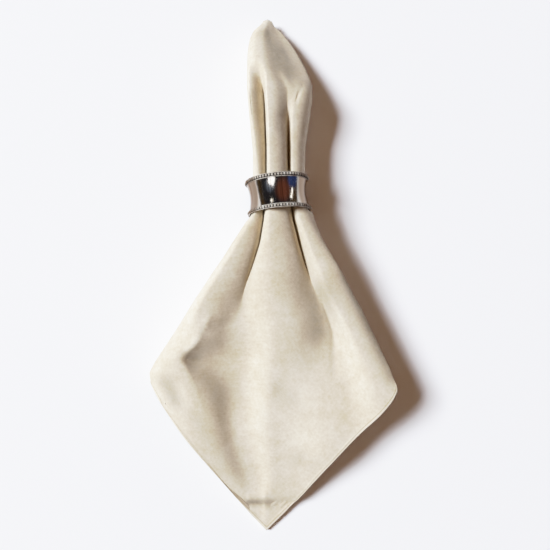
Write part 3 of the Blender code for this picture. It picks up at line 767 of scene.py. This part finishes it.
def linenMaterial():
    # washed plain-weave linen: matt, slubby threads both ways, uneven in colour, a soft nap, a stitched hem;
    # painted shade in the hollows and along the hem's inner fold
    material, tree, shader = newMaterial("washed linen")
    uv = addNode(tree, "ShaderNodeUVMap", uv_map="threads")
    size = napkin["side"]
    flat = addNode(tree, "ShaderNodeVectorMath", [(0, uv.outputs[0])], operation="MULTIPLY",
                   in_1=(size, size, 0))
    slubs = []
    for stretch in ((linen["slubWidth"], linen["slubLength"]), (linen["slubLength"], linen["slubWidth"])):
        scaled = addNode(tree, "ShaderNodeVectorMath", [(0, flat.outputs[0])], operation="MULTIPLY",
                         in_1=(1 / stretch[0], 1 / stretch[1], 1))
        slubs.append(addNode(tree, "ShaderNodeTexNoise", [("Vector", scaled.outputs[0])],
                             noise_dimensions="2D", in_2=1.0, in_3=2.0))
    both = addNode(tree, "ShaderNodeMath", [(0, slubs[0].outputs[0]), (1, slubs[1].outputs[0])],
                   operation="ADD")
    where = addNode(tree, "ShaderNodeTexCoord")
    clouds = addNode(tree, "ShaderNodeTexNoise", [("Vector", where.outputs["Object"])],
                     in_2=1 / (linen["cloudSize"] * mm), in_3=6.0, in_4=linen["cloudRoughness"])
    grain = addNode(tree, "ShaderNodeTexNoise", [("Vector", where.outputs["Object"])],
                    in_2=1 / (linen["grainSize"] * mm), in_3=2.0)
    blotches = addNode(tree, "ShaderNodeTexNoise", [("Vector", where.outputs["Object"])],
                       in_2=1 / (linen["blotchSize"] * mm), in_3=3.0)
    rough = addNode(tree, "ShaderNodeMath", [(0, both.outputs[0]), (2, grain.outputs[0])],
                    operation="MULTIPLY_ADD", in_1=linen["slubShare"])
    mottled = addNode(tree, "ShaderNodeMath", [(0, rough.outputs[0]), (2, clouds.outputs[0])],
                      operation="MULTIPLY_ADD", in_1=linen["slubTone"])
    uneven = addNode(tree, "ShaderNodeMath", [(0, blotches.outputs[0]), (2, mottled.outputs[0])],
                     operation="MULTIPLY_ADD", in_1=linen["blotchShare"])
    tone = addNode(tree, "ShaderNodeMapRange", [(0, uneven.outputs[0])], in_1=linen["darkAt"],
                   in_2=linen["lightAt"])
    even = addNode(tree, "ShaderNodeMix", [(0, tone.outputs[0])], data_type="RGBA",
                   in_6=linear(linen["dark"]), in_7=linear(linen["light"]))
    # painted shade: the colour turns darker and warmer where the vertex colour says, broken up by the clouds
    paintedShade = addNode(tree, "ShaderNodeVertexColor", layer_name="paintedShade")
    paintedShadeAmount = addNode(tree, "ShaderNodeMath", [(0, paintedShade.outputs[0]), (1, clouds.outputs[0])],
                     operation="MULTIPLY")
    colour = addNode(tree, "ShaderNodeMix", [(0, paintedShadeAmount.outputs[0]), (6, even.outputs[2])], data_type="RGBA",
                     in_7=linear(linen["paintedShadeColour"]))

    # how far each point is from the hem, and along it
    middle = addNode(tree, "ShaderNodeVectorMath", [(0, flat.outputs[0])], operation="SUBTRACT",
                     in_1=(size / 2, size / 2, 0))
    positive = addNode(tree, "ShaderNodeVectorMath", [(0, middle.outputs[0])], operation="ABSOLUTE")
    axes = addNode(tree, "ShaderNodeSeparateXYZ", [(0, positive.outputs[0])])
    farther = addNode(tree, "ShaderNodeMath", [(0, axes.outputs[0]), (1, axes.outputs[1])],
                      operation="MAXIMUM")
    nearer = addNode(tree, "ShaderNodeMath", [(0, axes.outputs[0]), (1, axes.outputs[1])],
                     operation="MINIMUM")
    toHem = addNode(tree, "ShaderNodeMath", [(1, farther.outputs[0])], operation="SUBTRACT", in_0=size / 2)
    band = addNode(tree, "ShaderNodeMapRange", [(0, toHem.outputs[0])],
                   in_1=linen["hemBand"] + linen["hemFadeOut"], in_2=linen["hemBand"] - linen["hemFadeIn"])
    # a dashed line of stitching; between the dashes the line stays darker, painted shade along the hem's
    # inner fold
    offLine = addNode(tree, "ShaderNodeMath", [(0, toHem.outputs[0])], operation="SUBTRACT",
                      in_1=linen["stitchLine"])
    beside = addNode(tree, "ShaderNodeMath", [(0, offLine.outputs[0])], operation="ABSOLUTE")
    line = addNode(tree, "ShaderNodeMapRange", [(0, beside.outputs[0])], in_1=linen["stitchWidth"],
                   in_2=linen["stitchCore"], in_4=linen["stitchShare"])
    beat = addNode(tree, "ShaderNodeMath", [(0, nearer.outputs[0])], operation="PINGPONG",
                   in_1=linen["stitchLength"] / 2)
    dash = addNode(tree, "ShaderNodeMapRange", [(0, beat.outputs[0])], in_1=0.0,
                   in_2=linen["stitchLength"] / 4, in_3=linen["hemShadeShare"], in_4=1.0)
    stitchesAndHemShade = addNode(tree, "ShaderNodeMath", [(0, line.outputs[0]), (1, dash.outputs[0])],
                       operation="MULTIPLY")
    hemmed = addNode(tree, "ShaderNodeMix", [(0, band.outputs[0]), (6, colour.outputs[2])], data_type="RGBA",
                     in_7=linear(linen["hemColour"]))
    sewn = addNode(tree, "ShaderNodeMix", [(0, stitchesAndHemShade.outputs[0]), (6, hemmed.outputs[2])],
                   data_type="RGBA", in_7=linear(linen["stitchAndShadeColour"]))
    tree.links.new(sewn.outputs[2], shader.inputs["Base Color"])

    waves = []
    for direction in ("X", "Y"):
        scaled = addNode(tree, "ShaderNodeVectorMath", [(0, flat.outputs[0])], operation="MULTIPLY",
                         in_1=(1 / linen["threadSpacing"], 1 / linen["threadSpacing"], 1))
        waves.append(addNode(tree, "ShaderNodeTexWave", [("Vector", scaled.outputs[0])], wave_type="BANDS",
                             bands_direction=direction, in_1=math.pi / 10,
                             in_2=linen["weaveWobble"], in_3=1.0, in_4=0.4))
    weave = addNode(tree, "ShaderNodeMath", [(0, waves[0].outputs[1]), (1, waves[1].outputs[1])],
                    operation="MULTIPLY")
    total = addNode(tree, "ShaderNodeMath", [(0, weave.outputs[0]), (1, rough.outputs[0])], operation="ADD")
    pressed = addNode(tree, "ShaderNodeMath", [(0, stitchesAndHemShade.outputs[0]), (2, total.outputs[0])],
                      operation="MULTIPLY_ADD", in_1=-linen["stitchDepth"])
    bump = addNode(tree, "ShaderNodeBump", [("Height", pressed.outputs[0])])
    bump.inputs["Strength"].default_value = linen["weaveStrength"]
    bump.inputs["Distance"].default_value = linen["weaveHeight"] * mm
    tree.links.new(bump.outputs[0], shader.inputs["Normal"])
    shader.inputs["Roughness"].default_value = linen["roughness"]
    shader.inputs["Specular IOR Level"].default_value = linen["gloss"]
    shader.inputs["Sheen Weight"].default_value = linen["sheen"]
    shader.inputs["Sheen Roughness"].default_value = linen["sheenRoughness"]
    return material


cloth = makeCloth()
cloth.data.materials.append(linenMaterial())
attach(cloth, "root")
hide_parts("napkin_cloth")
print("cloth made")

# The ring: a waisted wall of plated brass, with a row of beads between two fine wires at each rim

trim = dict(
    sides=128, loops=16, wallEnd=10.9, flare=2.2, smoothAngle=35.0,
    beads=66, beadRadius=0.88, beadAlong=10.1, beadOut=20.8, beadSides=12, beadRings=8,
    lipRadius=0.25, lipAlong=11.25, lipOut=21.1, wireRadius=0.25, wireAlong=8.9, wireOut=20.4, wireSides=10,
    silver="#e2dccf", tarnish="#2c2620", streak="#6b4a26", frosted=0.65,
    grooveTop=21.35, grooveDepth=0.25,
    streakAt=-68.0, streakWide=9.0,    # one broad streak down the left side, in degrees from the top
    paintedReflectionFrom=36.0, paintedReflectionTo=48.0, paintedReflectionShare=0.8,    # both sides are painted darker and warmer than the top, a painted reflection of the shaded floor
    markScale=260.0, leastBlur=0.08, mostBlur=0.22,
    wearScale=24.0, wornFrom=0.42, wornTo=0.68, wornShare=0.7,    # fine lines along the ring's width
)


def selectWhere(test):
    # in edit mode: select the vertices that pass, and nothing else
    mesh = bpy.context.object.data
    bpy.ops.mesh.select_all(action="DESELECT")
    bm = bmesh.from_edit_mesh(mesh)
    for vert in bm.verts:
        vert.select = test(vert.co)
    bm.select_flush(True)
    bmesh.update_edit_mesh(mesh)


def wallRadius(along):
    return ring["waistRadius"] + trim["flare"] * (along / trim["wallEnd"]) ** 2


def makeWall():
    # an open cylinder cut into loops, each drawn in or out to the waisted profile
    end = trim["wallEnd"]
    bpy.ops.mesh.primitive_cylinder_add(vertices=trim["sides"], radius=ring["waistRadius"] * mm,
                                        depth=2 * end * mm, end_fill_type="NOTHING")
    wall = bpy.context.object
    bpy.ops.object.mode_set(mode="EDIT")
    bm = bmesh.from_edit_mesh(wall.data)
    for edge in bm.edges:
        edge.select = abs(edge.verts[0].co.z - edge.verts[1].co.z) > end * mm
    bmesh.update_edit_mesh(wall.data)
    bpy.ops.mesh.subdivide(number_cuts=trim["loops"] - 1)
    for i in range(trim["loops"] + 1):
        along = end * (2 * i / trim["loops"] - 1)
        selectWhere(lambda co: abs(co.z - along * mm) < 0.1 * mm)
        grow = wallRadius(along) / ring["waistRadius"]
        bpy.ops.transform.resize(value=(grow, grow, 1))
    bpy.ops.object.mode_set(mode="OBJECT")
    thick = wall.modifiers.new("wall", "SOLIDIFY")
    thick.thickness = ring["wall"] * mm
    thick.offset = -1.0
    bpy.ops.object.modifier_apply(modifier=thick.name)
    return wall


def makeRing():
    deselectAll()
    made = [makeWall()]
    for side in (1, -1):
        for kind in ("lip", "wire"):
            bpy.ops.mesh.primitive_torus_add(major_segments=trim["sides"], minor_segments=trim["wireSides"],
                                             location=(0, 0, side * trim[kind + "Along"] * mm),
                                             major_radius=trim[kind + "Out"] * mm,
                                             minor_radius=trim[kind + "Radius"] * mm)
            made.append(bpy.context.object)
        beadPlace = (trim["beadOut"] * mm, 0, side * trim["beadAlong"] * mm)
        bpy.ops.mesh.primitive_uv_sphere_add(segments=trim["beadSides"], ring_count=trim["beadRings"],
                                             radius=trim["beadRadius"] * mm, location=beadPlace)
        bead = bpy.context.object
        made.append(bead)
        for k in range(1, trim["beads"]):
            turn = Matrix.Rotation(2 * math.pi * k / trim["beads"], 4, "Z")
            copy = bead.copy()
            copy.data = bead.data.copy()
            copy.matrix_world = turn @ bead.matrix_world
            bpy.context.scene.collection.objects.link(copy)
            made.append(copy)
    deselectAll()
    for thing in made:
        thing.select_set(True)
    bpy.context.view_layer.objects.active = made[0]
    bpy.ops.object.join()
    napkinRing = bpy.context.object
    napkinRing.name = napkinRing.data.name = "beadedRing"

    # tarnish stays between and beside the beads, where a cloth can't reach; both sides are painted darker and
    # warmer, a painted reflection of the shaded floor
    mesh = napkinRing.data
    for name in ("rim", "around"):
        mesh.color_attributes.new(name, "FLOAT_COLOR", "POINT")
    rim, around = mesh.color_attributes["rim"], mesh.color_attributes["around"]
    for vert, rimValue, aroundValue in zip(mesh.vertices, rim.data, around.data):
        away, along = math.hypot(vert.co.x, vert.co.y) / mm, abs(vert.co.z) / mm
        sunk = (trim["grooveTop"] - away) / trim["grooveDepth"]
        inGroove = trim["wireAlong"] + trim["wireRadius"] < along < trim["lipAlong"] - trim["lipRadius"]
        amount = min(max(sunk, 0.0), 1.0) if inGroove else 0.0
        turn = math.atan2(vert.co.x, -vert.co.y)    # 0 at the top, once the ring lies on its side
        # the sides get a painted reflection of the shaded floor; the streak is a darker, warmer band down the
        # left side
        streak = math.exp(-((math.degrees(turn) - trim["streakAt"]) / trim["streakWide"]) ** 2)
        toSide = (math.degrees(abs(turn)) - trim["paintedReflectionFrom"]) / (trim["paintedReflectionTo"] - trim["paintedReflectionFrom"])
        paintedReflection = trim["paintedReflectionShare"] * min(max(toSide, 0.0), 1.0)
        onRim = 1.0 if along > trim["wireAlong"] - trim["wireRadius"] else 0.0
        rimValue.color = (amount, onRim, 0.0, 1.0)
        aroundValue.color = (0.5 + 0.5 * math.sin(turn), 0.5 + 0.5 * math.cos(turn), max(streak, paintedReflection), 1.0)

    napkinRing.rotation_euler = (-math.pi / 2, 0, math.radians(ring["lean"]))
    napkinRing.location = ((ring["x"] + place.x) * mm,
                           (napkin["length"] / 2 - ring["down"] + place.y) * mm,
                           ring["rimRadius"] * mm)
    bpy.ops.object.transform_apply(location=True, rotation=True, scale=True)
    bpy.ops.object.shade_smooth_by_angle(angle=math.radians(trim["smoothAngle"]))
    print("ring:", sum(len(face.vertices) - 2 for face in mesh.polygons), "triangles")
    return napkinRing


def silverMaterial():
    # silver plate on brass, polished: a bright mirror, softened by hairline wiping marks, darker and warmer
    # at the sides as a painted reflection of the shaded floor, and dark between the beads
    material, tree, shader = newMaterial("polished silver plate")
    where = addNode(tree, "ShaderNodeTexCoord")
    marks = addNode(tree, "ShaderNodeTexNoise", [("Vector", where.outputs["Object"])],
                    in_2=trim["markScale"], in_3=4.0)
    blur = addNode(tree, "ShaderNodeMapRange", [(0, marks.outputs[0])], in_3=trim["leastBlur"],
                   in_4=trim["mostBlur"])
    tree.links.new(blur.outputs[0], shader.inputs["Roughness"])
    rim = addNode(tree, "ShaderNodeVertexColor", layer_name="rim")
    around = addNode(tree, "ShaderNodeVertexColor", layer_name="around")
    turned = addNode(tree, "ShaderNodeVectorMath", [(0, around.outputs[0])], operation="MULTIPLY",
                     in_1=(trim["wearScale"], trim["wearScale"], 0.0))
    fine = addNode(tree, "ShaderNodeTexNoise", [("Vector", turned.outputs[0])], in_2=1.0, in_3=3.0, in_4=0.7)
    worn = addNode(tree, "ShaderNodeMapRange", [(0, fine.outputs[0])], in_1=trim["wornFrom"],
                   in_2=trim["wornTo"], in_4=trim["wornShare"])
    parts = addNode(tree, "ShaderNodeSeparateXYZ", [(0, around.outputs[0])])
    # wear lines, the left streak and the painted reflection on both sides all take the streak colour
    wearAndPaintedReflection = addNode(tree, "ShaderNodeMath", [(0, worn.outputs[0]), (1, parts.outputs[2])],
                       operation="MAXIMUM")
    plate = addNode(tree, "ShaderNodeMix", [(0, wearAndPaintedReflection.outputs[0])], data_type="RGBA",
                    in_6=linear(trim["silver"]), in_7=linear(trim["streak"]))
    rimParts = addNode(tree, "ShaderNodeSeparateXYZ", [(0, rim.outputs[0])])
    colour = addNode(tree, "ShaderNodeMix", [(0, rimParts.outputs[0]), (6, plate.outputs[2])],
                     data_type="RGBA", in_7=linear(trim["tarnish"]))
    tree.links.new(colour.outputs[2], shader.inputs["Base Color"])
    # the small beads scatter more light than the polished wall
    bright = addNode(tree, "ShaderNodeMapRange", [(0, rimParts.outputs[1])], in_3=1.0,
                     in_4=1 - trim["frosted"])
    tree.links.new(bright.outputs[0], shader.inputs["Metallic"])
    return material


napkinRing = makeRing()
napkinRing.data.materials.clear()
napkinRing.data.materials.append(silverMaterial())
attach(napkinRing, "root")
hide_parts("napkin_ring")
print("ring made")
